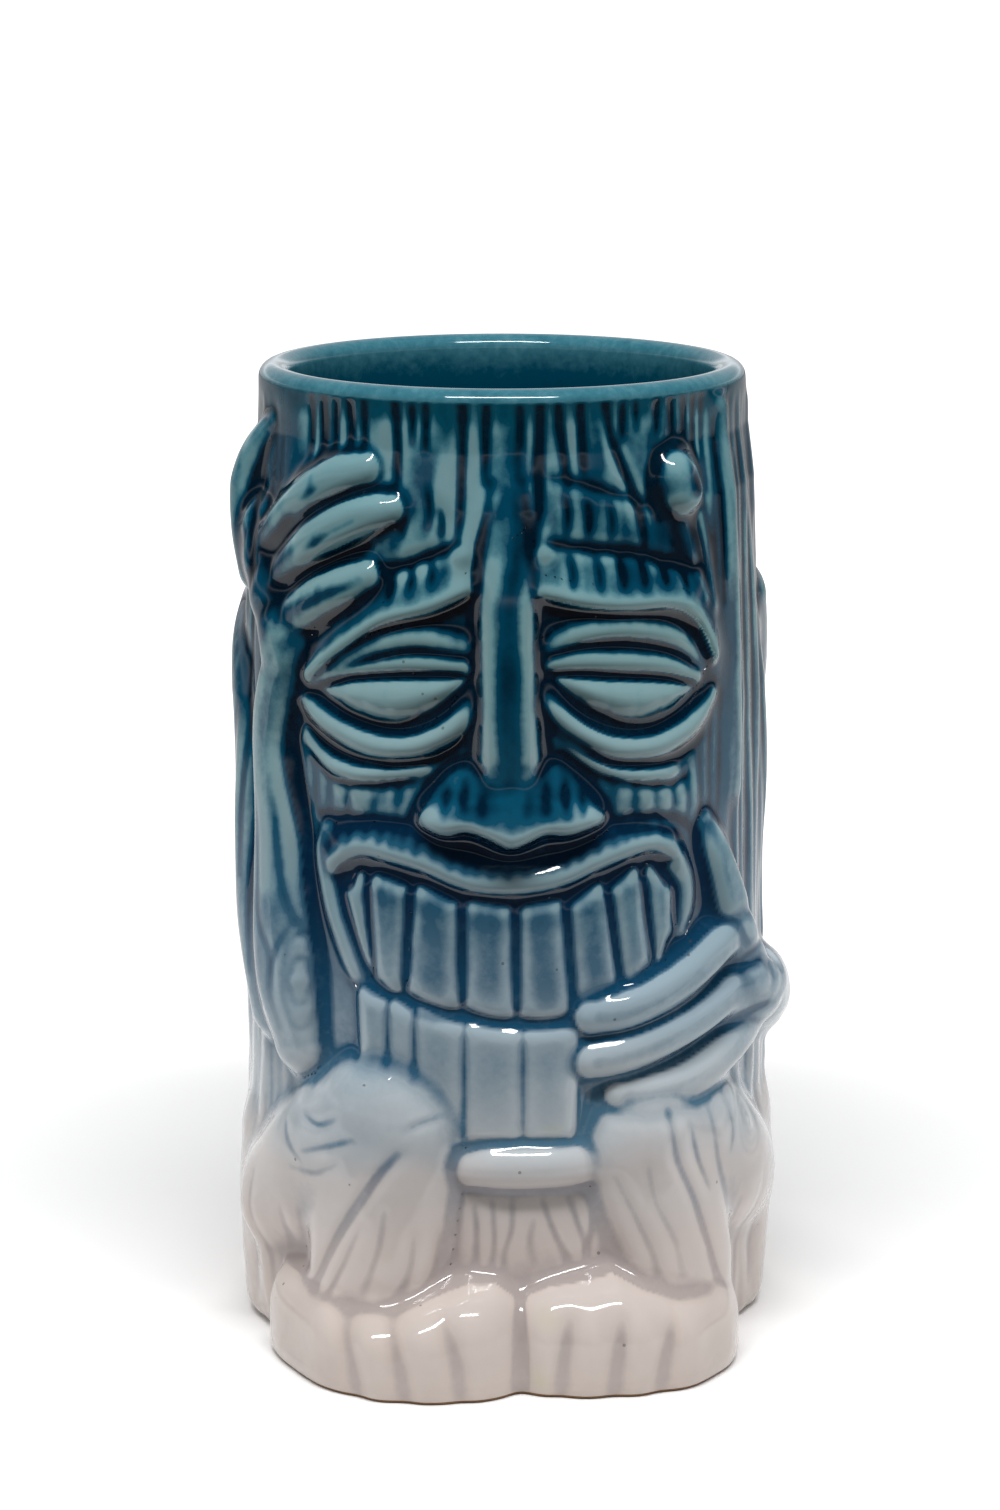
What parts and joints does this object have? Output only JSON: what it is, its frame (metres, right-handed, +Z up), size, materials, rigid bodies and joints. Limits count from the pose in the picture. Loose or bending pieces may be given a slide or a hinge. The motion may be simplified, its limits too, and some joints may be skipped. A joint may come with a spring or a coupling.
{
  "type": "ceramic figure mug",
  "caption": "Tall footless ceramic mug shaped as a carved trunk figure that sits laughing, one hand on the forehead and one on the cheek.",
  "frame": {"origin": "centre of the cup's base on its axis, in the plane it stands on", "axes": "+Z up out of the mouth, face towards -Y, the figure's right side towards -X"},
  "size_m": [0.0979, 0.0999, 0.165],
  "materials": {
    "glaze_trunk": "glossy pooled glaze over bark relief",
    "glaze_teal": "glossy deep teal glaze, pale on the ridges",
    "glaze_mist": "glossy grey-blue glaze",
    "glaze_blush": "glossy warm pale grey glaze"
  },
  "bodies": {
    "root": {"chin_planks": "glaze_mist", "forehead_knot": "glaze_teal", "left_brow": "glaze_teal", "left_eye_bag": "glaze_teal", "left_eyelid": "glaze_teal", "left_fingers": "glaze_mist", "left_foot": "glaze_blush", "left_forearm": "glaze_mist", "left_lid_fold": "glaze_teal", "left_palm": "glaze_mist", "left_shin": "glaze_blush", "left_thigh": "glaze_blush", "left_thumb": "glaze_mist", "left_toes": "glaze_blush", "left_upper_arm": "glaze_teal", "left_upper_lid": "glaze_teal", "loin_panel": "glaze_blush", "nose_base": "glaze_teal", "nose_bridge": "glaze_teal", "right_brow": "glaze_teal", "right_eye_bag": "glaze_teal", "right_eyelid": "glaze_teal", "right_fingers": "glaze_teal", "right_foot": "glaze_blush", "right_forearm": "glaze_mist", "right_lid_fold": "glaze_teal", "right_palm": "glaze_teal", "right_shin": "glaze_blush", "right_thigh": "glaze_blush", "right_thumb": "glaze_teal", "right_toes": "glaze_blush", "right_upper_arm": "glaze_teal", "right_upper_lid": "glaze_teal", "teeth": "glaze_mist", "trunk_cup": "glaze_trunk", "upper_lip": "glaze_teal", "waist_band": "glaze_mist"}
  },
  "joints": []
}
